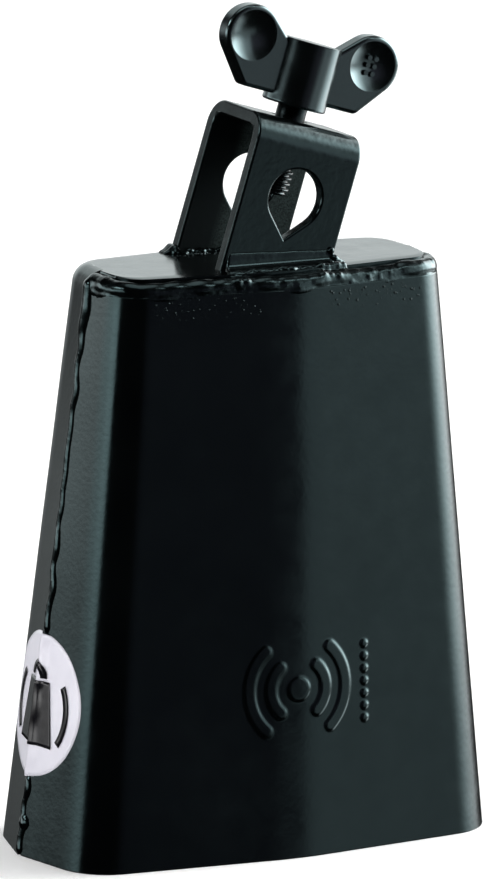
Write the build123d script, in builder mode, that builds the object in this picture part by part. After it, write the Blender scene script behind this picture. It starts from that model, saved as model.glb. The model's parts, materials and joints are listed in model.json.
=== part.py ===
"""Cowbell with a rod clamp: two pressed steel shells welded together, a welded mounting
bracket on top and an M8 wing screw that clamps the bell to a rod.

Millimetres, +Z up.  The bell stands on its mouth: the origin is the centre of the mouth
rim, the playing face looks towards -Y and the welded side seams lie in the plane Y = 0.
"""
from build123d import *
from math import cos, pi, radians, sin, sqrt, tan
import os

# ---- bell body -------------------------------------------------------------------------
body_height = 127.0         # mouth rim to the flat top, 5 inches
sheet = 1.6                 # steel thickness of both shells
mouth_seam = 54.9           # half width across the side seams, at the mouth
mouth_fold = 49.3           # half width between the folds of the playing face, at the mouth
mouth_depth = 22.2          # half depth at the folds, at the mouth
top_seam = 40.2             # the same three half sizes at the top
top_fold = 38.9
top_depth = 13.7
crease_rise = 4.5           # how far the face's centre line stands in front of its folds
mouth_fold_radius = 12.0
top_fold_radius = 8.5
crease_radius = 70.0
top_edge_radius = 3.6
rim_round = 0.35            # softened edge of the cut sheet
shortest_rim_edge = 3.0     # the sheet's cut ends at the seams are shorter and stay sharp

# ---- weld seams ------------------------------------------------------------------------
seam_gap = 1.2              # root gap between the shells
seam_bead_radius = 1.5
seam_bead_inset = 0.9       # bead centre behind the outer skin
top_bead_radius = 2.35
top_bead_inset = 2.1
top_bead_drop = 2.6         # bead centre below the flat top
face_top = body_height - 3.6    # upper edge of the front shell
panel_inset = 2.6           # the top panel stops this far behind the outer skin
overshoot = 2.0             # how far cutting tools run past the surfaces they cut

# ---- mounting bracket, in its own tilted frame -----------------------------------------
bracket_tilt = 16.5         # degrees, leaning towards +X
bracket_x = -0.5            # where the bracket's centre line meets the flat top
bracket_y = 1.5
bracket_width = 25.8
bracket_depth = 23.8        # over the outer faces of the two legs
bracket_rise = 30.9         # flat top of the bell to the bracket's top, along the tilt
strap = 3.0
bend_radius = 5.5           # outer
strap_round = 0.5
hole_radius = 6.4           # round part of the rod hole, a 90 degree V below it
hole_drop = 15.9            # bracket top to the centre of the round part
hole_edge_round = 0.5
leg_spare = 8.0             # extra leg, cut off along the flat top
front_weld_size = 4.0       # leg length of the fillet welds at the bracket's feet
rear_weld_size = 2.4
weld_overlap = 1.6          # how far a leg's weld runs past the strap's edges
weld_root = 1.2             # how far it reaches down over the rounded edge of the top

# ---- wing screw, measured from the bracket's top along the screw ------------------------
thread_radius = 4.0         # M8
thread_root = 3.3
thread_pitch = 1.25
crest_share = 0.15          # shares of the pitch at which a ring's crest ends and its root lies
root_shares = (0.5, 0.65)
neck_radius = 3.25
neck_chamfer = 0.5
thread_start = -0.6
screw_tip = -16.6
tip_chamfer = 1.0
nut_flats = 13.0
nut_height = 6.5
running_clearance = 0.05
collar_radius = 4.5
collar_bottom = 5.0
collar_top = 13.0
hub_radius = 7.0
hub_bottom = 2.7
hub_top = 16.9
wing_bottom = 4.3
wing_shoulder = 16.4        # height at which the wings leave the hub
wing_thickness = 4.4
wing_round = 0.9
hub_round = 0.6
wing_corner = 14.3          # lower outer corner of a wing, from the axis
wing_corner_round = 1.6
wing_root = 6.3             # where a wing's upper edge enters the hub, from the axis
upper_touch = 131.0         # degrees round a disc at which that upper edge meets it
disc_offset = 15.1          # thumb disc centre, from the axis
disc_level = 15.3
disc_radius = 6.6
dish_radius = 5.5
dish_depth = 1.3
pip_columns = 2             # grip pips in one thumb dish
pip_rows = 3
pip_pitch = 1.65
pip_radius = 0.55
pip_below_face = 0.55

# ---- label and emblem ------------------------------------------------------------------
label_radius = 15.6
label_level = 33.2
label_back = 0.8            # label centre behind the seam
label_thickness = 0.2
emblem_level = 37.0
emblem_raise = 0.4
emblem_dot = 2.6
emblem_line = 2.6           # width of the emblem's arcs
wave_radii = (6.6, 11.6)
wave_angle = 48.0
stud_row_x = 16.6           # upright row of small raised dots beside the emblem
stud_count = 7
stud_pitch = 2.7
stud_radius = 0.85


def outline_points(level):
    """Corners of the bell's outline at a height, from the left seam over the front."""
    t = level / body_height
    seam = mouth_seam + (top_seam - mouth_seam) * t
    fold = mouth_fold + (top_fold - mouth_fold) * t
    depth = mouth_depth + (top_depth - mouth_depth) * t
    front = [(-seam, 0), (-fold, -depth), (0, -depth - crease_rise), (fold, -depth)]
    return front + [(-x, -y) for x, y in front]


def outline(level, grow=0.0):
    """Section of the bell at a height; grow moves it outwards, or inwards if negative."""
    fold_radius = mouth_fold_radius + (top_fold_radius - mouth_fold_radius) * level / body_height
    with BuildSketch(Plane.XY.offset(level)) as section:
        with BuildLine():
            Polyline(*outline_points(level), close=True)
        make_face()
        corners = section.vertices()
        folds = corners.filter_by(lambda v: abs(v.Y) > 1 and abs(v.X) > 1)
        creases = corners.filter_by(lambda v: abs(v.X) < 1)
        fillet(folds, fold_radius)
        fillet(creases, crease_radius)
        if grow:
            offset(amount=grow, kind=Kind.INTERSECTION)
    return section.sketch


def bell_form(low, high, grow=0.0, top_round=0.0):
    """Solid bell shape between two heights, with a rounded upper edge if asked."""
    ends = [outline(low, grow), outline(high, grow)]
    with BuildPart() as form:
        loft(sections=ends, ruled=True)
        if top_round:
            upper_face = form.faces().sort_by(Axis.Z)[-1]
            fillet(upper_face.edges(), top_round)
    return form.part


outer_form = bell_form(0, body_height, top_round=top_edge_radius)
inner_form = bell_form(-overshoot, body_height - sheet, -sheet, top_edge_radius - sheet)
panel_form = bell_form(body_height / 2, body_height + overshoot, -panel_inset)
raised_form = bell_form(0, body_height, emblem_raise)

# ---- frames of the tilted bracket and screw ---------------------------------------------
along_strap = Vector(cos(radians(bracket_tilt)), 0, -sin(radians(bracket_tilt)))
along_screw = Vector(sin(radians(bracket_tilt)), 0, cos(radians(bracket_tilt)))
bracket_foot = Vector(bracket_x, bracket_y, body_height)
bracket_top = bracket_foot + along_screw * bracket_rise
bracket_side = Plane(origin=bracket_foot, x_dir=(0, 1, 0), z_dir=along_strap)
bracket_front = Plane(origin=bracket_foot, x_dir=along_strap, z_dir=(0, -1, 0))
screw_plane = Plane(origin=bracket_top, x_dir=along_strap, z_dir=along_screw)
screw_half = Plane(origin=bracket_top, x_dir=along_strap, z_dir=(0, -1, 0))


# ---- shells ----------------------------------------------------------------------------
# Emblem raised in the playing face: a dot with sound waves on both sides, and a row of
# small dots beside them.
with BuildSketch(Plane.XZ) as emblem_shape:
    with Locations((0, emblem_level)):
        Circle(emblem_dot)
    for middle in (0, 180):
        for wave_radius in wave_radii:
            with BuildLine():
                CenterArc((0, emblem_level), wave_radius, middle - wave_angle, 2 * wave_angle)
                offset(amount=emblem_line / 2)
            make_face()
    with Locations((stud_row_x, emblem_level)):
        with GridLocations(0, stud_pitch, 1, stud_count):
            Circle(stud_radius)

with BuildPart() as emblem:
    extrude(emblem_shape.sketch, amount=mouth_seam)
    add(raised_form, mode=Mode.INTERSECT)

with BuildPart() as front_shell:
    add(outer_form)
    add(emblem.part)
    add(inner_form, mode=Mode.SUBTRACT)
    split(bisect_by=Plane.XZ.offset(seam_gap / 2), keep=Keep.TOP)
    split(bisect_by=Plane.XY.offset(face_top), keep=Keep.BOTTOM)
    rim = front_shell.faces().sort_by(Axis.Z)[0].edges()
    fillet(rim.filter_by(lambda e: e.length > shortest_rim_edge), rim_round)

# Everything in front of the seams, except the top panel.
with BuildPart() as front_waste:
    with BuildSketch(Plane.XY.offset(-overshoot)):
        with Locations((0, seam_gap / 2)):
            Rectangle(4 * mouth_seam, 4 * mouth_seam, align=(Align.CENTER, Align.MAX))
    extrude(amount=body_height + 2 * overshoot)
    add(panel_form, mode=Mode.SUBTRACT)

# The back, its sides and the flat top are one pressing.
with BuildPart() as rear_shell:
    add(outer_form)
    add(inner_form, mode=Mode.SUBTRACT)
    add(front_waste.part, mode=Mode.SUBTRACT)
    rim = rear_shell.faces().sort_by(Axis.Z)[0].edges()
    fillet(rim.filter_by(lambda e: e.length > shortest_rim_edge), rim_round)


# ---- bracket and its nut ---------------------------------------------------------------
leg_length = bracket_rise + leg_spare
leg_middle = (bracket_rise - leg_spare) / 2
with BuildSketch(bracket_side) as bracket_profile:
    with Locations((0, leg_middle)):
        Rectangle(bracket_depth, leg_length)
        fillet(bracket_profile.vertices().group_by(Axis.Y)[-1], bend_radius)
    with Locations((0, leg_middle - strap)):
        inside = bracket_depth - 2 * strap
        RectangleRounded(inside, leg_length, bend_radius - strap, mode=Mode.SUBTRACT)

# Teardrop: a circle with a 90 degree V below it, in which a rod of any size centres itself.
hole_level = bracket_rise - hole_drop
touch = hole_radius / sqrt(2)
with BuildSketch(bracket_front) as rod_hole:
    with Locations((0, hole_level)):
        Circle(hole_radius)
    Polygon(
        (-touch, hole_level - touch),
        (0, hole_level - 2 * touch),
        (touch, hole_level - touch),
        align=None,
    )

hole_centre = bracket_foot + along_screw * hole_level


def near_hole(edge):
    """True for the hole's edges on the legs' faces, but not for those through the strap."""
    reach = edge.center() - hole_centre
    reach.Y = 0
    return reach.length < hole_radius + strap and abs(edge.tangent_at(0).Y) < 0.5


with BuildPart() as mount_bracket:
    extrude(bracket_profile.sketch, amount=bracket_width / 2, both=True)
    strap_sides = mount_bracket.faces().filter_by(lambda f: abs(f.normal_at().dot(along_strap)) > 0.99)
    fillet(strap_sides.edges(), strap_round)
    extrude(rod_hole.sketch, amount=bracket_depth, both=True, mode=Mode.SUBTRACT)
    fillet(mount_bracket.edges().filter_by(near_hole), hole_edge_round)
    with Locations(screw_plane):
        Hole(thread_radius + running_clearance, depth=2 * strap)
    split(bisect_by=Plane.XY.offset(body_height), keep=Keep.TOP)

with BuildPart() as weld_nut:
    with BuildSketch(screw_plane.offset(-strap - nut_height)):
        RegularPolygon(nut_flats / 2, side_count=6, major_radius=False)
        Circle(thread_radius + running_clearance, mode=Mode.SUBTRACT)
    extrude(amount=nut_height)


# ---- weld beads ------------------------------------------------------------------------
# Bead along the front edge of the flat top, with a blob at each end where the seams arrive.
bead_outline = outline(body_height - top_bead_drop, -top_bead_inset)
with BuildLine() as top_bead_path:
    add(bead_outline.edges().filter_by(lambda e: e.center().Y < -seam_gap / 4))
with BuildPart() as top_seam_weld:
    bead_wire = top_bead_path.wires()[0]
    with BuildSketch(Plane(origin=bead_wire @ 0, z_dir=bead_wire % 0)):
        Circle(top_bead_radius)
    sweep(path=bead_wire)
    with Locations(bead_wire @ 0, bead_wire @ 1):
        Sphere(top_bead_radius)
    add(front_shell.part, mode=Mode.SUBTRACT)
    add(rear_shell.part, mode=Mode.SUBTRACT)


def seam_rod(side, radius):
    """Straight round bar along a side seam; side is -1 for the left seam, 1 for the right."""
    low = Vector(side * (mouth_seam - seam_bead_inset), 0, rim_round)
    slope = (top_seam - mouth_seam) / body_height
    high = low + Vector(side * slope, 0, 1) * (face_top - rim_round)
    with BuildPart() as rod:
        with BuildSketch(Plane(origin=low, z_dir=high - low)):
            Circle(radius)
        extrude(amount=(high - low).length)
    return rod.part


left_rod = seam_rod(-1, seam_bead_radius)
right_rod = seam_rod(1, seam_bead_radius)

with BuildPart() as left_seam_weld:
    add(left_rod)
    add([front_shell.part, rear_shell.part, top_seam_weld.part], mode=Mode.SUBTRACT)

with BuildPart() as right_seam_weld:
    add(right_rod)
    add([front_shell.part, rear_shell.part, top_seam_weld.part], mode=Mode.SUBTRACT)


def leg_weld_form(leg_y, size):
    """Tapered pad of weld metal around the foot of a bracket leg."""
    foot = bracket_width / cos(radians(bracket_tilt))
    lean = size * tan(radians(bracket_tilt))
    with BuildPart() as pad:
        with BuildSketch(Plane.XY.offset(body_height - weld_root)):
            with Locations((bracket_x, leg_y)):
                width = foot + 2 * weld_overlap
                RectangleRounded(width, strap + 2 * size, weld_overlap)
        with BuildSketch(Plane.XY.offset(body_height + size)):
            with Locations((bracket_x + lean, leg_y)):
                RectangleRounded(foot + strap_round, strap + strap_round, strap_round)
        loft()
    return pad.part


front_leg_y = bracket_y - bracket_depth / 2 + strap / 2
rear_leg_y = bracket_y + bracket_depth / 2 - strap / 2
front_pad = leg_weld_form(front_leg_y, front_weld_size)
rear_pad = leg_weld_form(rear_leg_y, rear_weld_size)

# The front leg is welded along its outer side only, where there is room for the torch.
with BuildPart() as front_leg_weld:
    add(front_pad)
    add([mount_bracket.part, front_shell.part, rear_shell.part, top_seam_weld.part], mode=Mode.SUBTRACT)
    split(bisect_by=Plane.XZ.offset(-front_leg_y), keep=Keep.TOP)

with BuildPart() as rear_leg_weld:
    add(rear_pad)
    add([mount_bracket.part, rear_shell.part], mode=Mode.SUBTRACT)


# ---- label -----------------------------------------------------------------------------
# Round label wrapped over the left seam and its bead.
label_form = bell_form(0, body_height, label_thickness)
label_over_bead = seam_rod(-1, seam_bead_radius + label_thickness)
with BuildPart() as label_skin:
    add([label_form, label_over_bead])
    add([outer_form, left_rod], mode=Mode.SUBTRACT)

side_slope = (mouth_seam - mouth_fold) / mouth_depth
with BuildPart() as round_label:
    with BuildSketch(Plane.YZ):
        with Locations((label_back, label_level)):
            Ellipse(label_radius / sqrt(1 + side_slope ** 2), label_radius)
    extrude(amount=-2 * mouth_seam)
    add(label_skin.part, mode=Mode.INTERSECT)


# ---- wing screw ------------------------------------------------------------------------
ring_count = int((thread_start - screw_tip - tip_chamfer) / thread_pitch)
thread_low = thread_start - ring_count * thread_pitch
ring = [(thread_radius, 0.0), (thread_radius, crest_share)] + [(thread_root, s) for s in root_shares]
ring_points = [
    (r, thread_low + (turn + share) * thread_pitch) for turn in range(ring_count) for r, share in ring
]
with BuildPart() as screw_stud:
    with BuildSketch(screw_half):
        with BuildLine():
            Polyline(
                (0, screw_tip),
                (thread_radius - tip_chamfer, screw_tip),
                (thread_radius, screw_tip + tip_chamfer),
                *ring_points,
                (thread_radius, thread_start),
                (neck_radius, thread_start + neck_chamfer),
                (neck_radius, collar_bottom),
                (collar_radius, collar_bottom),
                (collar_radius, collar_top),
                (0, collar_top),
                close=True,
            )
        make_face()
    revolve(axis=Axis(bracket_top, along_screw))

# Both wings: a round thumb disc each, joined to the hub by a tangent web.
lower_touch = disc_radius / sqrt(2)
upper_x = disc_offset + disc_radius * cos(radians(upper_touch))
upper_level = disc_level + disc_radius * sin(radians(upper_touch))
with BuildSketch(screw_half) as wing_shape:
    for side in (1, -1):
        with Locations((side * disc_offset, disc_level)):
            Circle(disc_radius)
        Polygon(
            (0, wing_bottom),
            (side * wing_corner, wing_bottom),
            (side * (disc_offset + lower_touch), disc_level - lower_touch),
            (side * disc_offset, disc_level),
            (side * upper_x, upper_level),
            (side * wing_root, wing_shoulder),
            (0, wing_shoulder),
            align=None,
        )
    low_points = wing_shape.vertices().group_by(Axis.Y)[0]
    fillet(low_points.filter_by(lambda v: abs(v.X) > hub_radius), wing_corner_round)

dish_sphere = (dish_radius ** 2 + dish_depth ** 2) / (2 * dish_depth)
dish_centre = wing_thickness / 2 - dish_depth + dish_sphere
with BuildPart() as wing_grip:
    extrude(wing_shape.sketch, amount=wing_thickness / 2, both=True)
    faces = wing_grip.faces().filter_by(lambda f: abs(f.normal_at().Y) > 0.99)
    fillet(faces.edges(), wing_round)
    with BuildSketch(screw_plane.offset(hub_bottom)):
        Circle(hub_radius)
    extrude(amount=hub_top - hub_bottom)
    rims = wing_grip.edges().filter_by(GeomType.CIRCLE)
    fillet(rims.filter_by(lambda e: abs(e.length - 2 * pi * hub_radius) < 0.1), hub_round)
    for side in (1, -1):
        disc = bracket_top + along_strap * side * disc_offset + along_screw * disc_level
        with Locations(disc + Vector(0, dish_centre, 0), disc - Vector(0, dish_centre, 0)):
            Sphere(dish_sphere, mode=Mode.SUBTRACT)
    with BuildSketch(screw_half.offset(wing_thickness / 2 - pip_below_face)):
        with Locations((disc_offset, disc_level)):
            with GridLocations(pip_pitch, pip_pitch, pip_columns, pip_rows):
                Circle(pip_radius)
    extrude(amount=-dish_depth)
    with BuildSketch(screw_plane.offset(hub_bottom)):
        Circle(neck_radius + running_clearance)
    extrude(amount=collar_bottom - hub_bottom, mode=Mode.SUBTRACT)
    with BuildSketch(screw_plane.offset(collar_bottom - running_clearance)):
        Circle(collar_radius + running_clearance)
    extrude(amount=collar_top - collar_bottom + 2 * running_clearance, mode=Mode.SUBTRACT)


# ---- export ----------------------------------------------------------------------------
pieces = {
    "front_shell": front_shell,
    "rear_shell": rear_shell,
    "left_seam_weld": left_seam_weld,
    "right_seam_weld": right_seam_weld,
    "top_seam_weld": top_seam_weld,
    "mount_bracket": mount_bracket,
    "front_leg_weld": front_leg_weld,
    "rear_leg_weld": rear_leg_weld,
    "weld_nut": weld_nut,
    "round_label": round_label,
    "screw_stud": screw_stud,
    "wing_grip": wing_grip,
}
os.makedirs("parts", exist_ok=True)
for name, piece in pieces.items():
    piece.part.label = name
    export_step(piece.part, f"parts/{name}.step")
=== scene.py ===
"""Looks of the cowbell: pressed and welded steel under glossy black coat, a bracket with its
wing screw, and a round label, in a pale studio.

Sizes are millimetres in the helpers and metres in Blender.  The bell stands on its mouth,
the playing face looks towards -Y, and azimuths are measured from the front towards +X.
"""
import json
from math import atan2, cos, hypot, pi, radians, sin, sqrt, tan
from random import Random

import bmesh
import bpy
from mathutils import Matrix, Vector, noise


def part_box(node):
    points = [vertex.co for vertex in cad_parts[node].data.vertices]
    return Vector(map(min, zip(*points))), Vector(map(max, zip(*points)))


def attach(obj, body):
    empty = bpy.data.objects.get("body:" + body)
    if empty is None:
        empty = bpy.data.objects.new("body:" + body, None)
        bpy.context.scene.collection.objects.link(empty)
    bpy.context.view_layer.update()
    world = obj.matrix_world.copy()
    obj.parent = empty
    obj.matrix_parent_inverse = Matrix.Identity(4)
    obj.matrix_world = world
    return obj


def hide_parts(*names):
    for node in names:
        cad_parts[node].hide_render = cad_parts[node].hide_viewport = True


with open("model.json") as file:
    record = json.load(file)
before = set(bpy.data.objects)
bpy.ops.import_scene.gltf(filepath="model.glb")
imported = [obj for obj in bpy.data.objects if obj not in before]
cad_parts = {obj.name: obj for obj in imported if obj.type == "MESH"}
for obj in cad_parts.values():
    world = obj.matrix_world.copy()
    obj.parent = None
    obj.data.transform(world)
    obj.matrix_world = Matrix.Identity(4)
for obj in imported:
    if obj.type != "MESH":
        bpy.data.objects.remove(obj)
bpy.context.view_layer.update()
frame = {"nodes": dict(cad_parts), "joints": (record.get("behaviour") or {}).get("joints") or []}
scene = bpy.context.scene
MM = 0.001

# ---- camera, in degrees and millimetres ------------------------------------------------
camera_azimuth = -27.91
camera_elevation = 12.55
camera_roll = 1.19
camera_distance = 1704.5
camera_left = 1.92          # how far the camera is moved sideways and up after aiming
camera_up = 1.90
camera_lens = 323.3
aim_height = 85.0

# ---- bell body, as in the CAD ----------------------------------------------------------
body_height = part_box("rear_shell")[1].z / MM
sheet = 1.6
mouth_seam = 54.9           # half sizes at the mouth: across the seams, across the folds,
mouth_fold = 49.3           # and the depth at the folds
mouth_depth = 22.2
top_seam = 40.2
top_fold = 38.9
top_depth = 13.7
crease_rise = 4.5
mouth_fold_radius = 12.0
top_fold_radius = 8.5
crease_radius = 70.0
top_edge_radius = 3.6
seam_gap = 1.2
face_top = body_height - 3.6
panel_inset = 2.6           # from the outline to the front edge of the flat top
edge_bevel = 0.3
dent_depth = 0.07           # gentle waviness of the pressed sheet
dent_size = 26.0

# ---- emblem and label ------------------------------------------------------------------
emblem_level = 37.0
emblem_zone = (26, 48)      # heights between which the front has a finer mesh
emblem_raise = 0.26
emblem_dot = 2.6            # radius of the dot
emblem_line = 2.6           # width of the waves
wave_radii = (6.6, 11.6)
wave_angle = radians(48.0)  # how far the waves reach above and below the horizontal
stud_row_x = 16.6           # upright row of small raised dots beside the emblem
stud_count = 7
stud_pitch = 2.7
stud_radius = 0.85
emblem_edge = 0.35          # half width of the relief's soft flank
label_radius = 15.6
label_level = 33.2
label_back = 0.8            # how far its middle lies behind the seam
label_lift = 0.05
label_thickness = 0.2
bead_bump = 0.75            # how far the label rises over the seam weld
bead_slope = 1.7            # width of that rise's slopes
ink_lift = 0.02
ink_thickness = 0.03

# ---- bracket and screw, from the record's joint -----------------------------------------
wing_turn = next(j for j in frame["joints"] if j["name"] == "wing_turn")
bracket_top = Vector(wing_turn["pos_m"]) / MM
along_screw = Vector(wing_turn["axis"])
along_strap = Vector((along_screw.z, 0, -along_screw.x))
strap = 3.0
bracket_width = 25.8
bracket_depth = 23.8
thread_radius = 4.0
thread_root = 3.3
thread_pitch = 1.25
thread_start = -0.6
screw_tip = -16.6
tip_chamfer = 1.0
neck_radius = 3.25
collar_radius = 4.5
collar_bottom = 5.0
collar_top = 13.0
end_radius = 0.8            # of the small flat faces that close the stud's ends
# where the bracket's middle line meets the flat top
leg_foot = bracket_top - along_screw * ((bracket_top.z - body_height) / along_screw.z)
front_leg_y = bracket_top.y - bracket_depth / 2 + strap / 2
rear_leg_y = bracket_top.y + bracket_depth / 2 - strap / 2

# ---- welds -----------------------------------------------------------------------------
seam_bead_ahead = 0.2       # how far the side beads lie in front of their seams
top_bead_drop = 2.75        # from the flat top down to the middle of its front bead


# ======================================================================= camera and light
def direction(azimuth, elevation):
    """Unit vector from the bell towards an azimuth and elevation, in degrees."""
    a, e = radians(azimuth), radians(elevation)
    return Vector((sin(a) * cos(e), -cos(a) * cos(e), sin(e)))


def make_camera():
    """Long lens from the left front, a little above."""
    target = Vector((0, 0, aim_height)) * MM
    distance = camera_distance * MM
    roll = radians(camera_roll)
    back = direction(camera_azimuth, camera_elevation)
    level = (-back).cross(Vector((0, 0, 1))).normalized()
    upright = level.cross(-back)
    right = level * cos(roll) + upright * sin(roll)
    up = upright * cos(roll) - level * sin(roll)
    place = target + back * distance - right * camera_left * MM + up * camera_up * MM
    data = bpy.data.cameras.new("camera")
    data.lens = camera_lens
    data.sensor_width = 36.0
    data.clip_end = 20.0
    camera = bpy.data.objects.new("camera", data)
    turn = Matrix((right, up, back)).transposed().to_4x4()
    camera.matrix_world = Matrix.Translation(place) @ turn
    scene.collection.objects.link(camera)
    scene.camera = camera


def compute(tree, operation, *values):
    """Output of a math node; each value is a socket or a number."""
    node = tree.nodes.new("ShaderNodeMath")
    node.operation = operation
    for socket, value in zip(node.inputs, values):
        if isinstance(value, (int, float)):
            socket.default_value = value
        else:
            tree.links.new(value, socket)
    return node.outputs["Value"]


class Studio:
    """World lit by soft walls of light, each placed by azimuth and elevation in degrees."""

    ambient = (0.006, 0.006, 0.006)

    def __init__(self):
        world = bpy.data.worlds.new("studio")
        world.use_nodes = True
        scene.world = world
        self.tree = world.node_tree
        self.background = self.tree.nodes["Background"]
        place = self.tree.nodes.new("ShaderNodeTexCoord").outputs["Generated"]
        split = self.tree.nodes.new("ShaderNodeSeparateXYZ")
        self.tree.links.new(place, split.inputs["Vector"])
        self.x, self.y, z = split.outputs
        self.elevation = self.math("DEGREES", self.math("ARCSINE", z))
        self.run = self.math(
            "SQRT", self.math("ADD", self.math("POWER", self.x, 2), self.math("POWER", self.y, 2))
        )
        self.total = self.ambient

    def math(self, operation, *values):
        return compute(self.tree, operation, *values)

    def fade(self, value, dark, bright):
        """Rises smoothly from 0 where value is dark to 1 where it is bright."""
        node = self.tree.nodes.new("ShaderNodeMapRange")
        node.interpolation_type = "SMOOTHSTEP"
        node.inputs["From Min"].default_value = dark
        node.inputs["From Max"].default_value = bright
        self.tree.links.new(value, node.inputs["Value"])
        return node.outputs["Result"]

    def wall(self, azimuth, half_width, softness, lower, upper, radiance, tint=(1, 1, 1)):
        """Adds a wall; lower and upper are the dark and bright elevations of its soft edges."""
        a = radians(azimuth)
        along = self.math(
            "ADD", self.math("MULTIPLY", self.x, sin(a)), self.math("MULTIPLY", self.y, -cos(a))
        )
        # held just under 1, so that rounding can't leave the arc cosine's range
        cosine = self.math("MINIMUM", self.math("DIVIDE", along, self.run), 0.999999)
        away = self.math("DEGREES", self.math("ARCCOSINE", cosine))
        glow = self.math(
            "MULTIPLY", self.fade(away, half_width + softness, half_width - softness), radiance
        )
        for edge in (lower, upper):
            glow = self.math("MULTIPLY", glow, self.fade(self.elevation, *edge))
        add = self.tree.nodes.new("ShaderNodeVectorMath")
        add.operation = "MULTIPLY_ADD"
        self.tree.links.new(glow, add.inputs[0])
        add.inputs[1].default_value = tint
        if isinstance(self.total, tuple):
            add.inputs[2].default_value = self.total
        else:
            self.tree.links.new(self.total, add.inputs[2])
        self.total = add.outputs["Vector"]

    def finish(self):
        self.tree.links.new(self.total, self.background.inputs["Color"])


def make_light():
    """Studio walls, and a fill for the surfaces that scatter light."""
    studio = Studio()
    horizon = (-13, 1.5)
    floor_edge = (-19, 4)
    low_top = (18, 7)
    studio.wall(-112, 33, 4, (-10.5, 2.5), (14, 5), 3.4)                    # left
    studio.wall(-92, 6, 8, horizon, low_top, 0.5)                           # brighter strip in it
    studio.wall(-158, 14, 6, horizon, low_top, 0.35)                        # behind left
    studio.wall(165, 27, 8, (-18, 7), (40, 22), 1.4, (0.94, 1.0, 1.0))      # behind
    studio.wall(88, 25, 22, horizon, (48, 32), 12.0)                        # right softbox
    studio.wall(92, 24, 22, (-40, -30), (-13, -17), 4.0)                    # under the softbox
    studio.wall(67, 36.6, 2.5, floor_edge, (40, 15), 1.08)                  # front right
    studio.wall(60, 40, 2, (-24, -16), (-8.5, -10), 0.40)                   # under front right
    studio.wall(22, 18, 14, floor_edge, (25, 10), 0.15, (1.0, 0.8, 1.02))   # front
    studio.wall(0, 200, 1, (58, 76), (200, 190), 1.3)                       # overhead, all round
    studio.wall(40, 6, 6, (34, 42), (56, 48), 5.0)                          # small light, front
    studio.wall(-100, 14, 6, (22, 28), (40, 34), 9.0)                       # small light, left
    studio.finish()

    # diffuse fill, which the black coat doesn't mirror
    fill_radiance, fill_distance = 2.2, 2.5
    fill = bpy.data.lights.new("fill", "AREA")
    fill.shape = "SQUARE"
    fill.size = 2.0
    fill.energy = fill_radiance * pi * fill.size ** 2
    light = bpy.data.objects.new("fill", fill)
    towards = direction(-60, 30)
    light.location = towards * fill_distance
    light.rotation_mode = "QUATERNION"
    light.rotation_quaternion = towards.to_track_quat("Z", "Y")
    light.visible_camera = False
    light.visible_glossy = False
    scene.collection.objects.link(light)
    scene.view_settings.view_transform = "Standard"


# ============================================================================== materials
class Finish:
    """Principled material with short ways to add procedural detail in object space."""

    def __init__(self, name, colour, roughness, metallic=0.0):
        self.material = bpy.data.materials.new(name)
        self.material.use_nodes = True
        self.tree = self.material.node_tree
        self.shader = self.tree.nodes["Principled BSDF"]
        self.place = self.tree.nodes.new("ShaderNodeTexCoord").outputs["Object"]
        self.shader.inputs["Base Color"].default_value = (*colour, 1)
        self.shader.inputs["Roughness"].default_value = roughness
        self.shader.inputs["Metallic"].default_value = metallic

    def noise(self, size, detail=2.0, stretch=None):
        """Noise whose features are about size millimetres."""
        place = self.place
        if stretch:
            mapping = self.tree.nodes.new("ShaderNodeMapping")
            mapping.inputs["Scale"].default_value = stretch
            self.tree.links.new(place, mapping.inputs["Vector"])
            place = mapping.outputs["Vector"]
        texture = self.tree.nodes.new("ShaderNodeTexNoise")
        texture.inputs["Scale"].default_value = 1 / (size * MM)
        texture.inputs["Detail"].default_value = detail
        self.tree.links.new(place, texture.inputs["Vector"])
        return texture.outputs["Fac"]

    def spread(self, value, low, high, start=0.3, end=0.7):
        """Maps a 0 to 1 value onto low to high."""
        node = self.tree.nodes.new("ShaderNodeMapRange")
        node.inputs["From Min"].default_value = start
        node.inputs["From Max"].default_value = end
        node.inputs["To Min"].default_value = low
        node.inputs["To Max"].default_value = high
        self.tree.links.new(value, node.inputs["Value"])
        return node.outputs["Result"]

    def math(self, operation, *values):
        return compute(self.tree, operation, *values)

    def along(self, axis):
        """Distance in millimetres along an axis."""
        node = self.tree.nodes.new("ShaderNodeVectorMath")
        node.operation = "DOT_PRODUCT"
        self.tree.links.new(self.place, node.inputs[0])
        node.inputs[1].default_value = axis / MM
        return node.outputs["Value"]

    def band(self, value, middle, half_width):
        """1 where value is within half_width of the middle, 0 outside."""
        away = self.math("ABSOLUTE", self.math("SUBTRACT", value, middle))
        return self.math("LESS_THAN", away, half_width)

    def colour(self, value, low, high, start=0.3, end=0.7):
        """Blends the base colour from low to high."""
        node = self.tree.nodes.new("ShaderNodeMix")
        node.data_type = "RGBA"
        node.inputs["A"].default_value = (*low, 1)
        node.inputs["B"].default_value = (*high, 1)
        self.tree.links.new(self.spread(value, 0, 1, start, end), node.inputs["Factor"])
        self.tree.links.new(node.outputs["Result"], self.shader.inputs["Base Color"])

    def roughness(self, value, low, high):
        """Varies the roughness between low and high."""
        self.tree.links.new(self.spread(value, low, high), self.shader.inputs["Roughness"])

    def bump(self, value, height):
        """Adds relief of about height millimetres on top of the bumps added before."""
        node = self.tree.nodes.new("ShaderNodeBump")
        node.inputs["Distance"].default_value = height * MM
        normal = self.shader.inputs["Normal"]
        if normal.is_linked:
            self.tree.links.new(normal.links[0].from_socket, node.inputs["Normal"])
        self.tree.links.new(value, node.inputs["Height"])
        self.tree.links.new(node.outputs["Normal"], normal)


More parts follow.
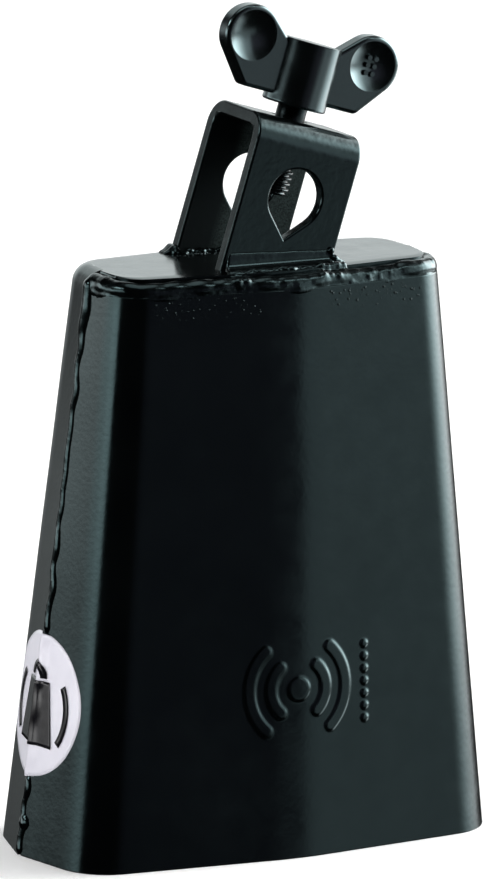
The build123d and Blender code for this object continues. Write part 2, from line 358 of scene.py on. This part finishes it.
coat_black = (0.0006, 0.0008, 0.0009)
coat_range = ((0.0004, 0.0005, 0.0006), (0.0008, 0.0010, 0.0011))
coat_tint = (0.60, 0.96, 1.0, 1)        # its reflections lean to blue-green
coat_smooth = (0.12, 0.20)
coat_grain = 0.28


def coat_finish(name, roughness):
    """Start of every version of the black coat."""
    finish = Finish(name, coat_black, roughness)
    finish.shader.inputs["Specular Tint"].default_value = coat_tint
    return finish


def black_coat():
    """Glossy powder coat with faint orange peel."""
    finish = coat_finish("black_coat", 0.16)
    finish.colour(finish.noise(14), *coat_range)
    finish.roughness(finish.noise(5, detail=4), *coat_smooth)
    finish.bump(finish.noise(1.1, detail=1), 0.012)
    finish.bump(finish.noise(coat_grain, detail=1), 0.0012)
    return finish.material


def weld_coat():
    """The same coat over rough weld metal."""
    finish = coat_finish("weld_coat", 0.12)
    finish.colour(finish.noise(3), *coat_range)
    finish.roughness(finish.noise(1.5, detail=4), 0.12, 0.26)
    finish.bump(finish.noise(2.8, detail=1), 0.14)
    finish.bump(finish.noise(0.9, detail=1), 0.03)
    return finish.material


def bracket_coat():
    """The coat as sprayed on the bracket: thin and rough on its inner faces, with a powdery
    speckle there that is painted lighter on their right part, where light comes in between the
    legs.
    """
    finish = coat_finish("bracket_coat", 0.16)
    margin = 0.05           # takes in the inner faces themselves
    tall = 30               # half height of a space that reaches down to the bell
    depth = finish.along(Vector((0, 1, 0)))
    between_legs = finish.band(depth, bracket_top.y, bracket_depth / 2 - strap + margin)
    top = bracket_top.dot(along_screw)
    below_top = finish.band(finish.along(along_screw), top - tall - strap + 2 * margin, tall)
    inside = finish.math("MULTIPLY", between_legs, below_top)
    middle = bracket_top.dot(along_strap)
    # painted light: the powdery speckle fades out towards the left, so the shaded left part of the
    # inner faces stays dark
    shaded_stop, lit_stop = middle - 6, middle - 3.5
    lit_side = finish.spread(finish.along(along_strap), 0, 1, shaded_stop, lit_stop)
    dust_and_painted_light = finish.math("MULTIPLY", inside, finish.spread(finish.noise(0.35, detail=3), 0, 1))
    dust_and_painted_light = finish.math("MULTIPLY", dust_and_painted_light, lit_side)
    # powdery speckle and painted light: a lighter grey-green on the right part of the inner faces
    finish.colour(dust_and_painted_light, coat_black, (0.030, 0.042, 0.040), 0.0, 1.0)
    smooth = finish.spread(finish.noise(5, detail=4), *coat_smooth)
    rough = finish.math("ADD", smooth, finish.math("MULTIPLY", inside, 0.4))
    finish.tree.links.new(rough, finish.shader.inputs["Roughness"])
    shine = finish.math("SUBTRACT", 0.5, finish.math("MULTIPLY", inside, 0.35))
    finish.tree.links.new(shine, finish.shader.inputs["Specular IOR Level"])
    finish.bump(finish.noise(1.6, detail=1), 0.03)
    finish.bump(finish.noise(coat_grain, detail=1), 0.0012)
    return finish.material


def grip_plastic():
    """Satin black nylon, finely grained by its mould."""
    finish = Finish("grip_plastic", (0.0008, 0.0010, 0.0010), 0.2)
    finish.shader.inputs["IOR"].default_value = 1.6
    finish.shader.inputs["Specular IOR Level"].default_value = 1.0
    finish.shader.inputs["Specular Tint"].default_value = (0.68, 0.96, 1.0, 1)
    finish.colour(finish.noise(6), (0.0006, 0.0008, 0.0008), (0.0011, 0.0013, 0.0014))
    finish.roughness(finish.noise(2.5, detail=4), 0.17, 0.24)
    finish.bump(finish.noise(0.16, detail=2), 0.003)
    return finish.material


def black_steel():
    """Black zinc plating, streaked along the thread."""
    finish = Finish("black_steel", (0.022, 0.030, 0.031), 0.24, metallic=1.0)
    finish.colour(finish.noise(3), (0.014, 0.019, 0.020), (0.030, 0.040, 0.042))
    finish.roughness(finish.noise(1.2, detail=4), 0.18, 0.32)
    finish.bump(finish.noise(0.3, detail=3, stretch=(1, 1, 0.2)), 0.005)
    return finish.material


def label_vinyl():
    """White vinyl with a trace of violet, slightly uneven over the coat."""
    finish = Finish("label_vinyl", (0.60, 0.59, 0.65), 0.2)
    finish.colour(finish.noise(9), (0.575, 0.565, 0.63), (0.63, 0.62, 0.68))
    finish.roughness(finish.noise(4, detail=5), 0.14, 0.26)
    finish.bump(finish.noise(3.0), 0.02)
    return finish.material


def label_ink():
    """Dark print on the label."""
    finish = Finish("label_ink", (0.004, 0.004, 0.005), 0.16)
    finish.colour(finish.noise(2.4), (0.003, 0.003, 0.004), (0.006, 0.006, 0.008))
    finish.roughness(finish.noise(4, detail=5), 0.10, 0.24)
    finish.bump(finish.noise(3.0), 0.02)
    return finish.material


def pale_floor():
    """White paper, lit a little from within so that it stays near white."""
    finish = Finish("pale_floor", (0.9, 0.9, 0.9), 0.9)
    finish.colour(finish.noise(60), (0.90, 0.90, 0.90), (0.92, 0.92, 0.92))
    finish.shader.inputs["Emission Color"].default_value = (1, 1, 1, 1)
    finish.shader.inputs["Emission Strength"].default_value = 0.15
    return finish.material


# =============================================================================== geometry
def add_object(name, points, faces, material):
    """Smooth-shaded mesh object from points in millimetres."""
    mesh = bpy.data.meshes.new(name)
    mesh.from_pydata([Vector(p) * MM for p in points], [], faces)
    mesh.materials.append(material)
    mesh.shade_smooth()
    piece = bpy.data.objects.new(name, mesh)
    scene.collection.objects.link(piece)
    return piece


def grid_faces(rows, columns, around=False, first=0):
    """Quads between rows of points; around joins the last column to the first."""
    faces = []
    for row in range(rows - 1):
        for column in range(columns if around else columns - 1):
            following = (column + 1) % columns
            low, high = first + row * columns, first + (row + 1) * columns
            faces.append((low + column, low + following, high + following, high + column))
    return faces


def steps(start, end, count):
    """count equal steps from start, without the end."""
    return [start + (end - start) * i / count for i in range(count)]


def corner_arc(corner, before, after, radius):
    """Centre and the two tangent points of a rounded corner."""
    a = (before - corner).normalized()
    b = (after - corner).normalized()
    half = a.angle(b) / 2
    lit_side = radius / tan(half)
    centre = corner + (a + b).normalized() * radius / sin(half)
    return centre, corner + a * lit_side, corner + b * lit_side


def profile(level):
    """Corners of the front outline at a height, left to right."""
    t = level / body_height
    seam = mouth_seam + (top_seam - mouth_seam) * t
    fold = mouth_fold + (top_fold - mouth_fold) * t
    depth = mouth_depth + (top_depth - mouth_depth) * t
    gap = seam_gap / 2
    edge = seam - (seam - fold) * gap / depth
    return [
        Vector((-edge, -gap)), Vector((-fold, -depth)), Vector((0, -depth - crease_rise)),
        Vector((fold, -depth)), Vector((edge, -gap)),
    ]


def fold_radius(level):
    """Radius of the soft folds at a height."""
    return mouth_fold_radius + (top_fold_radius - mouth_fold_radius) * level / body_height


def outline(level, spans):
    """Points and outward normals along the front outline; spans hold each stretch's shares."""
    p = profile(level)
    fold = fold_radius(level)
    radii = (fold, crease_radius, fold)
    arcs = [corner_arc(p[i + 1], p[i], p[i + 2], radii[i]) for i in range(3)]
    stops = [p[0], *(point for _, start, end in arcs for point in (start, end)), p[4]]
    result = []
    for index, shares in enumerate(spans):
        start, end = stops[index], stops[index + 1]
        if index % 2:
            centre = arcs[index // 2][0]
            first, last = start - centre, end - centre
            turn = first.angle_signed(last)
            for share in shares:
                normal = Matrix.Rotation(-turn * share, 2) @ first
                result.append((centre + normal, normal.normalized()))
        else:
            along = (end - start).normalized()
            for share in shares:
                result.append((start.lerp(end, share), Vector((along.y, -along.x))))
    return result


def smooth_step(value):
    """Rises smoothly from 0 at 0 to 1 at 1, and is flat outside."""
    value = min(max(value, 0.0), 1.0)
    return value * value * (3 - 2 * value)


def emblem_height(x, z):
    """Relief of the emblem: a dot with sound waves on both sides, and a row of small dots."""
    dx, dz = abs(x), z - emblem_level
    ring = hypot(dx, dz)
    angle = atan2(dz, dx)
    outside = ring - emblem_dot
    for radius in wave_radii:
        if abs(angle) <= wave_angle:
            away = abs(ring - radius)
        else:
            end = wave_angle if dz > 0 else -wave_angle
            away = hypot(dx - radius * cos(end), dz - radius * sin(end))
        outside = min(outside, away - emblem_line / 2)
    last = (stud_count - 1) / 2
    row = min(max(round(dz / stud_pitch + last), 0), 2 * last) - last
    outside = min(outside, hypot(x - stud_row_x, dz - row * stud_pitch) - stud_radius)
    return emblem_raise * smooth_step(0.5 - outside / (2 * emblem_edge))


def dents(point):
    """Slight waviness of pressed sheet at a point."""
    return dent_depth * noise.noise(Vector(point) / dent_size)


def close_sheet(name, outer, inner, material):
    """Sheet metal between matching rows of outer and inner points, closed on every side."""
    rows = outer + inner[::-1]
    count, columns = len(rows), len(rows[0])
    faces = grid_faces(count, columns)
    last = (count - 1) * columns
    faces += [(last + c, last + c + 1, c + 1, c) for c in range(columns - 1)]
    for side in (0, columns - 1):
        for row in range(len(outer) - 1):
            far = count - 1 - row
            faces.append(tuple(side + r * columns for r in (row, row + 1, far - 1, far)))
    piece = add_object(name, [point for row in rows for point in row], faces, material)
    shape = bmesh.new()
    shape.from_mesh(piece.data)
    bmesh.ops.recalc_face_normals(shape, faces=shape.faces)
    shape.to_mesh(piece.data)
    shape.free()
    edge = piece.modifiers.new("soft_edges", "BEVEL")
    edge.width = edge_bevel * MM
    edge.segments = 2
    edge.limit_method = "ANGLE"
    edge.angle_limit = radians(50)
    edge.harden_normals = True
    return piece


def make_front_shell(material):
    """Playing face and the front halves of the sides, with the raised emblem."""
    spans = [                   # finer across the emblem
        steps(0, 1, 12), steps(0, 1, 14), steps(0, 0.6, 16) + steps(0.6, 1, 40), steps(0, 1, 36),
        steps(0, 0.52, 52) + steps(0.52, 1, 14), steps(0, 1, 14), steps(0, 1, 12) + [1.0],
    ]
    low, high = emblem_zone
    levels = steps(0, low, 16) + steps(low, high, 80) + steps(high, face_top, 46) + [face_top]
    outer, inner = [], []
    for level in levels:
        skin, back = [], []
        for flat, normal in outline(level, spans):
            height = dents((flat.x, flat.y, level))
            if flat.y < -mouth_depth / 2:       # the playing face, not the sides
                height += emblem_height(flat.x, level)
            skin.append((*(flat + normal * height), level))
            back.append((*(flat + normal * (height - sheet)), level))
        outer.append(skin)
        inner.append(back)
    return close_sheet("front_shell_skin", outer, inner, material)


def make_rear_shell(material):
    """Back, the rear halves of the sides, and the flat top."""
    spans = [
        steps(0, 1, 10), steps(0, 1, 14), steps(0, 1, 24), steps(0, 1, 10),
        steps(0, 1, 24), steps(0, 1, 14), steps(0, 1, 10) + [1.0],
    ]
    outer, inner = [], []

    def add_row(level_out, inset_out, level_in, inset_in, wavy=1.0):
        skin, back = [], []
        for flat, normal in outline(min(level_out, body_height), spans):
            height = wavy * dents((flat.x, -flat.y, level_out))
            spot = flat + normal * (height - inset_out)
            skin.append((spot.x, -spot.y, level_out))
            spot = flat + normal * (height - inset_in)
            back.append((spot.x, -spot.y, level_in))
        outer.append(skin)
        inner.append(back)

    rise = body_height - top_edge_radius
    for level in steps(0, rise, 80):
        add_row(level, 0, level, sheet)
    arc_steps = 9
    bend = top_edge_radius - sheet
    for step in range(arc_steps + 1):
        angle = pi / 2 * step / arc_steps
        add_row(
            rise + top_edge_radius * sin(angle), top_edge_radius * (1 - cos(angle)),
            rise + bend * sin(angle), top_edge_radius - bend * cos(angle),
            wavy=1 - step / arc_steps,
        )

    clear = 0.15                        # keeps the panel's back and front edges apart at the seams
    lip_start, lip_run = 0.95, 0.05     # last part of the panel, where it bends down to the front
    radius = top_edge_radius
    front_drop = radius - sqrt(radius ** 2 - (radius - panel_inset) ** 2)
    for share in (0.03, 0.1, *steps(0.2, 0.9, 16), 0.9, lip_start, 0.985, 1.0):
        skin, back = [], []
        for flat, normal in outline(body_height, spans):
            rear = flat - normal * top_edge_radius
            front = flat - normal * panel_inset
            start = Vector((rear.x, max(-rear.y, clear)))
            end = Vector((front.x, min(front.y, -clear)))
            spot = start.lerp(end, share)
            drop = front_drop * smooth_step((share - lip_start) / lip_run)
            wave = dents((spot.x, spot.y, body_height))
            drop -= wave * smooth_step(share * 4) * smooth_step(4 - share * 4)
            skin.append((*spot, body_height - drop))
            back.append((*spot, body_height - drop - sheet))
        outer.append(skin)
        inner.append(back)
    return close_sheet("rear_shell_skin", outer, inner, material)


def add_ball(shape, centre, radius):
    """Adds a ball of so many millimetres to a bmesh."""
    bmesh.ops.create_icosphere(
        shape, subdivisions=2, radius=radius * MM,
        matrix=Matrix.Translation(Vector(centre) * MM),
    )


def melt(name, drops, material, voxel=0.26, settle=6, ribs=()):
    """One surface of weld metal from overlapping drops and ribs.

    A drop is a centre and a radius; a rib is a list of sections, each a ring of points.
    voxel is the size of the surface's cells, and settle the number of smoothing passes.
    """
    shape = bmesh.new()
    for sections in ribs:
        rings = [[shape.verts.new(point * MM) for point in ring] for ring in sections]
        for ring, following in zip(rings, rings[1:]):
            for i in range(len(ring)):
                shape.faces.new((ring[i - 1], ring[i], following[i], following[i - 1]))
        shape.faces.new(reversed(rings[0]))
        shape.faces.new(rings[-1])
    bmesh.ops.recalc_face_normals(shape, faces=shape.faces)
    for centre, radius in drops:
        add_ball(shape, centre, radius)
    mesh = bpy.data.meshes.new(name)
    shape.to_mesh(mesh)
    shape.free()
    piece = bpy.data.objects.new(name, mesh)
    scene.collection.objects.link(piece)
    remesh = piece.modifiers.new("melt", "REMESH")
    remesh.mode = "VOXEL"
    remesh.voxel_size = voxel * MM
    smooth = piece.modifiers.new("settle", "SMOOTH")
    smooth.factor = 0.5
    smooth.iterations = settle
    finished = piece.evaluated_get(bpy.context.evaluated_depsgraph_get())
    melted = bpy.data.meshes.new_from_object(finished)
    piece.modifiers.clear()
    piece.data = melted
    melted.name = name
    melted.materials.clear()
    melted.materials.append(material)
    melted.shade_smooth()
    return piece


def run_along(stops, spacing):
    """Evenly spaced points along a polyline."""
    lengths = [(b - a).length for a, b in zip(stops, stops[1:])]
    count = max(2, int(sum(lengths) / spacing))
    result = []
    for index in range(count + 1):
        left = sum(lengths) * index / count
        for (a, b), length in zip(zip(stops, stops[1:]), lengths):
            if left <= length or b is stops[-1]:
                result.append(a.lerp(b, min(left / length, 1.0)))
                break
            left -= length
    return result


def waver(distance, period, seed):
    """Smooth random value between -1 and 1 along a weld."""
    return noise.noise(Vector((distance / period, seed * 7.31, 0.5)))


def bead(stops, radius, seed):
    """Drops of a hand-laid bead: slow changes of width, ripples and a wandering line."""
    spacing = 0.7
    drops = []
    for index, spot in enumerate(run_along(stops, spacing)):
        s = index * spacing
        size = radius * (1 + 0.16 * waver(s, 9, seed) + 0.10 * waver(s, 2.2, seed + 1))
        shift = Vector((waver(s, 5, seed + 2), waver(s, 5, seed + 3), waver(s, 4, seed + 4)))
        drops.append((spot + shift * 0.3, size))
    return drops


def make_top_seam_weld(material):
    """Broad bead along the front edge of the flat top, with a sagging drop on the left side."""
    whole = [steps(0, 1, 10)] * 6 + [steps(0, 1, 10) + [1.0]]
    lumpy = [steps(0, 1, 3)] * 2 + [steps(0, 1, 26)] * 3 + [steps(0, 1, 8)]
    drops = []
    for drop, inset, radius, seed in ((top_bead_drop, 2.05, 2.15, 1), (4.1, 0.95, 1.05, 6)):
        level = body_height - drop
        line = [
            Vector((*(flat - normal * inset), level)) for flat, normal in outline(level, whole)
        ]
        drops += bead(line, radius, seed)
    level = body_height - top_bead_drop
    sag_inset = 1.3
    sagging = ((0.1, 0.6, 1.9), (0.35, 1.3, 1.8), (0.6, 1.7, 1.7), (0.8, 1.4, 1.7))
    for share, sag, radius in sagging:
        flat, normal = outline(level, [[share]])[0]
        drops.append((Vector((*(flat - normal * sag_inset), level - sag)), radius))
    chance = Random(5)
    for flat, normal in outline(level, lumpy):
        radius = chance.uniform(1.0, 1.45)
        spot = flat - normal * (radius + chance.uniform(-0.1, 0.3))
        drops.append((Vector((*spot, level + chance.uniform(-1.0, 1.0))), radius))
    return melt("top_seam_bead", drops + foot_drops(), material, settle=14)


def wander(level):
    """How far the left seam's bead strays towards the back at a height."""
    return 0.25 * sin(level / 1.38) + 0.6 * waver(level, 5, 24)


def seam_reach(level):
    """Distance of the side seams from the middle plane at a height."""
    return mouth_seam + (top_seam - mouth_seam) * level / body_height


def make_side_seam_weld(name, side, material):
    """Thin wavy bead down a side seam, thicker towards the top; side is -1 for the left one."""
    drops = []
    start, spacing = 1.4, 0.6
    grow_level, grow_run = 106, 14      # where the bead starts to thicken, and over what height
    for index in range(int(face_top / spacing)):
        level = start + spacing * index
        grow = smooth_step((level - grow_level) / grow_run)
        inset = 1.0 + 0.3 * grow + 0.1 * waver(level, 4, 21)
        radius = 1.5 + 0.7 * grow + 0.12 * waver(level, 9, 22) + 0.05 * waver(level, 2.5, 23)
        if side < 0 and abs(level - label_level) < label_radius + 1:
            inset, radius = 1.05, 1.3   # even and low under the label
        across = side * (seam_reach(level) - inset)
        depth = wander(level) - seam_bead_ahead - 0.3 * grow
        drops.append((Vector((across, depth, level)), radius))
    level, inset = 7.2, 1.9             # round drop near the mouth
    drops.append((Vector((side * (seam_reach(level) - inset), -0.3, level)), 2.6))
    return melt(name, drops, material)


# The front leg's fillet in section: distance in front of the leg, height over the flat top.
leg_fillet = (
    (-0.6, 3.7), (0.1, 3.6), (0.34, 3.3), (0.42, 2.8), (0.55, 2.0), (0.85, 1.15), (1.3, 0.6),
    (1.9, 0.35), (2.5, 0.15), (2.9, -0.6), (-0.6, -0.6),
)


def make_front_leg_weld(material):
    """Hollow fillet along the outer side of the front leg, with a drop at its right end."""
    outer_y = front_leg_y - strap / 2
    count, short = 40, 0.2              # sections, and how far the left end stays short
    sections = []
    for index in range(count + 1):
        across = -bracket_width / 2 + short + (bracket_width - short) * index / count
        swell = 1.1 - 0.35 * index / count + 0.05 * waver(index, 9, 31)
        sections.append([
            leg_foot + along_strap * (across / along_strap.x)
            + Vector((0, outer_y - leg_foot.y - ahead, 0))
            - Vector((0, 0, leg_foot.z + along_strap.z * across / along_strap.x - body_height))
            + along_screw * (high * swell / along_screw.z)
            for ahead, high in leg_fillet
        ])
    end = leg_foot.x + bracket_width / 2 / along_strap.x
    run_out = (                         # past the end, in front of the leg, over the top, radius
        (-0.4, 0.25, 2.6, 0.8), (0.3, 0.3, 0.6, 1.2), (1.3, 0.5, 0.1, 0.9), (2.2, 0.6, -0.1, 0.6),
    )
    drops = [
        (Vector((end + beyond, outer_y - ahead, body_height + rise)), radius)
        for beyond, ahead, rise, radius in run_out
    ]
    return melt("front_leg_fillet", drops, material, voxel=0.22, ribs=[sections])


def foot_drops():
    """Rough bead on the flat top in front of the front leg's fillet."""
    chance = Random(9)
    count, start, length = 90, -12.5, 27.0
    drops = []
    for index in range(count):
        across = start + length * index / (count - 1)
        ahead = 3.0 + 0.6 * waver(index, 12, 33) + chance.uniform(-0.25, 0.25)
        low = body_height - 0.3 + 0.3 * waver(index, 8, 35) + chance.uniform(-0.15, 0.15)
        spot = Vector((leg_foot.x + across, front_leg_y - strap / 2 - ahead, low))
        drops.append((spot, chance.uniform(0.85, 1.05)))
    return drops


def make_rear_leg_weld(material):
    """Low rough beads on both sides of the rear leg, tapering off past its ends."""
    half = bracket_width / 2 / along_strap.x
    count, past = 70, 0.4               # drops on a side, and how far they pass the leg's ends
    tapering = ((0.1, 1.2, 0.7), (0.8, 1.0, 0.3), (1.6, 0.8, 0.0), (2.4, 0.6, -0.1))
    chance = Random(12)
    drops = []
    for side in (-1, 1):
        for index in range(count):
            across = -half - past + (2 * half + 2 * past) * index / (count - 1)
            away = side * (strap / 2 + 0.4 + chance.uniform(-0.2, 0.5))
            level = body_height + chance.uniform(-0.2, 0.3)
            spot = Vector((leg_foot.x + across, rear_leg_y + away, level))
            drops.append((spot, chance.uniform(0.55, 0.95)))
    for end in (-1, 1):
        for beyond, radius, rise in tapering:
            x = leg_foot.x + end * (half + beyond)
            for away in (-1.0, 0.0, 1.0):
                drops.append((Vector((x, rear_leg_y + away, body_height + rise)), radius))
    return melt("rear_leg_bead", drops, material, settle=8)


def make_spatter(material):
    """Small droplets thrown from the welds onto the playing face and the flat top."""
    chance = Random(3)
    shape = bmesh.new()
    left_half, right_half = 2, 4        # straight stretches of the outline beside the crease
    on_face, on_top = 90, 60
    nearest, spread = 1.0, 4.2          # under the bead, and how far down the face they fly
    for _ in range(on_face):
        stretch = chance.choice((left_half, right_half))
        level = face_top - nearest - spread * chance.random() ** 1.6
        flat, normal = outline(level, [[]] * stretch + [[chance.random()]])[0]
        radius = chance.uniform(0.10, 0.27)
        add_ball(shape, Vector((*(flat + normal * radius * 0.2), level)), radius)
    for _ in range(on_top):
        across, ahead = chance.uniform(-15, 15), chance.uniform(2.2, 5.5)
        spot = Vector((leg_foot.x + across, rear_leg_y - ahead, body_height))
        add_ball(shape, spot, chance.uniform(0.10, 0.26))
    mesh = bpy.data.meshes.new("spatter")
    shape.to_mesh(mesh)
    shape.free()
    mesh.materials.append(material)
    mesh.shade_smooth()
    piece = bpy.data.objects.new("spatter", mesh)
    scene.collection.objects.link(piece)
    return piece


def side_skin(y, level):
    """Distance of the bell's side skin from the middle plane, at a depth y."""
    corners = profile(level)
    corner = corners[1]
    radius = fold_radius(level)
    centre, start, _ = corner_arc(corner, corners[0], corners[2], radius)
    depth = abs(y)
    if depth > -start.y:
        return -(centre.x - sqrt(max(radius ** 2 - (depth + centre.y) ** 2, 0)))
    share = (depth + corners[0].y) / (corners[0].y - start.y)
    return -(corners[0].x + (start.x - corners[0].x) * share)


def on_label(across, up, lift):
    """Point of the label's surface; across runs towards the front, up along the height."""
    slope = (mouth_seam - mouth_fold) / mouth_depth
    y = label_back - across / sqrt(1 + slope ** 2)
    level = label_level + up
    away = abs(y + seam_bead_ahead - wander(level))
    bump = bead_bump * smooth_step(1.15 - away / bead_slope)
    return (-side_skin(y, level) - lift - bump, y, level)


def make_label(material):
    """Round sticker, bent over the side's fold and the seam weld."""
    rings, around = 18, 96
    points = [on_label(0, 0, label_lift)]
    for ring in range(1, rings + 1):
        radius = label_radius * ring / rings
        for step in range(around):
            angle = 2 * pi * step / around
            points.append(on_label(radius * cos(angle), radius * sin(angle), label_lift))
    faces = [(0, 1 + step, 1 + (step + 1) % around) for step in range(around)]
    faces += grid_faces(rings, around, around=True, first=1)
    piece = add_object("label_disc", points, faces, material)
    solid = piece.modifiers.new("vinyl", "SOLIDIFY")
    solid.thickness = label_thickness * MM
    solid.offset = 1
    return piece


def make_label_print(material):
    """Generic pictogram: a bell with sound waves on both sides."""
    points, faces = [], []

    def patch(place, columns, rows):
        first = len(points)
        for row in range(rows + 1):
            for column in range(columns + 1):
                across, up = place(column / columns, row / rows)
                points.append(on_label(across, up, label_lift + label_thickness + ink_lift))
        faces.extend(grid_faces(rows + 1, columns + 1, first=first))

    def bell(u, v):
        half, foot, height = 7.6 - 2.8 * v, -8.6, 14.0
        return (2 * u - 1) * half, foot + height * v

    def loop(u, v):
        angle, radius, middle = pi * (1 - u), 2.2 + 1.5 * v, 6.0
        return radius * cos(angle), middle + radius * sin(angle)

    def wave(side):
        def place(u, v):
            angle, radius, middle = radians(34) * (2 * u - 1), 10.4 + 1.7 * v, -1.0
            return side * radius * cos(angle), middle + side * radius * sin(angle)
        return place

    patch(bell, 24, 20)
    patch(loop, 20, 2)
    patch(wave(1), 24, 2)
    patch(wave(-1), 24, 2)
    piece = add_object("label_print", points, faces, material)
    solid = piece.modifiers.new("ink", "SOLIDIFY")
    solid.thickness = ink_thickness * MM
    solid.offset = 1
    return piece


def make_screw_stud(material):
    """Clamp screw: a real helical thread with a chamfered tip, a neck and a moulded-in collar."""
    around, rows_per_turn = 64, 12
    angles = [2 * pi * step / around for step in range(around)]
    rows = []
    count = int((thread_start - screw_tip) / thread_pitch * rows_per_turn)
    for index in range(count + 1):
        height = screw_tip + (thread_start - screw_tip) * index / count
        rows.append([(thread_profile(height, angle), height) for angle in angles])
    for radius, height in (
        (neck_radius, thread_start + 0.5), (neck_radius, collar_bottom),
        (collar_radius, collar_bottom), (collar_radius, collar_top),
    ):
        rows.append([(radius, height)] * around)
    rows.insert(0, [(end_radius, screw_tip)] * around)
    rows.append([(end_radius, collar_top)] * around)
    across = Vector((0, 1, 0))
    points = []
    for row in rows:
        for angle, (radius, height) in zip(angles, row):
            points.append(
                bracket_top + along_screw * height
                + (along_strap * cos(angle) + across * sin(angle)) * radius
            )
    faces = grid_faces(len(rows), around, around=True)
    faces.append(tuple(reversed(range(around))))
    faces.append(tuple((len(rows) - 1) * around + step for step in range(around)))
    return add_object("threaded_stud", points, faces, material)


def thread_profile(height, angle):
    """Radius of the thread's surface at a height and angle, right-handed."""
    phase = (height / thread_pitch - angle / (2 * pi)) % 1
    flank = smooth_step(abs(2 * phase - 1) * 1.5 - 0.25)    # level at the root and the crest
    fade = smooth_step((thread_start - height) / thread_pitch)
    crest = thread_root + (thread_radius - thread_root) * flank * fade
    return min(crest, thread_radius - tip_chamfer + (height - screw_tip))


def make_stage():
    """Pale round floor, and a white dome that only the camera sees."""
    radius, around, rows = 5.5, 64, 17      # the radius is in metres
    angles = [2 * pi * i / around for i in range(around)]
    circle = [(cos(angle) / MM, sin(angle) / MM) for angle in angles]
    rim = [(radius * x, radius * y, 0) for x, y in circle]
    floor = add_object("floor", rim, [tuple(range(around))], pale_floor())
    floor.visible_glossy = False
    dome_material = bpy.data.materials.new("white_dome")
    dome_material.use_nodes = True
    tree = dome_material.node_tree
    glow = tree.nodes.new("ShaderNodeEmission")
    glow.inputs["Color"].default_value = (1, 1, 1, 1)
    tree.links.new(glow.outputs["Emission"], tree.nodes["Material Output"].inputs["Surface"])
    points = []
    for row in range(rows):
        angle = pi / 2 * row / rows
        width, height = radius * cos(angle), radius * sin(angle)
        points += [(width * x, width * y, height / MM) for x, y in circle]
    dome = add_object("dome", points, grid_faces(rows, around, around=True), dome_material)
    dome.visible_diffuse = False
    dome.visible_glossy = False
    dome.visible_shadow = False


# ================================================================================ assembly
make_camera()
make_light()

coat = black_coat()
weld = weld_coat()
plastic = grip_plastic()
steel = black_steel()
vinyl = label_vinyl()
ink = label_ink()

bell_pieces = {
    "front_shell": make_front_shell(coat),
    "rear_shell": make_rear_shell(coat),
    "top_seam_weld": make_top_seam_weld(weld),
    "left_seam_weld": make_side_seam_weld("left_seam_bead", -1, coat),
    "right_seam_weld": make_side_seam_weld("right_seam_bead", 1, coat),
    "front_leg_weld": make_front_leg_weld(coat),
    "rear_leg_weld": make_rear_leg_weld(weld),
}
for node, piece in bell_pieces.items():
    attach(piece, "bell")
    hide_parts(node)

spatter = make_spatter(coat)
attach(spatter, "bell")

label = make_label(vinyl)
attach(label, "bell")
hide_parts("round_label")
label_picture = make_label_print(ink)
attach(label_picture, "bell")

stud = make_screw_stud(steel)
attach(stud, "screw")
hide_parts("screw_stud")

for node, slot_name, material in (
    ("mount_bracket", "black_coat", bracket_coat()), ("weld_nut", "black_coat", coat),
    ("wing_grip", "grip_plastic", plastic),
):
    kept = frame["nodes"][node]
    for place in kept.material_slots:
        place.material = material

make_stage()
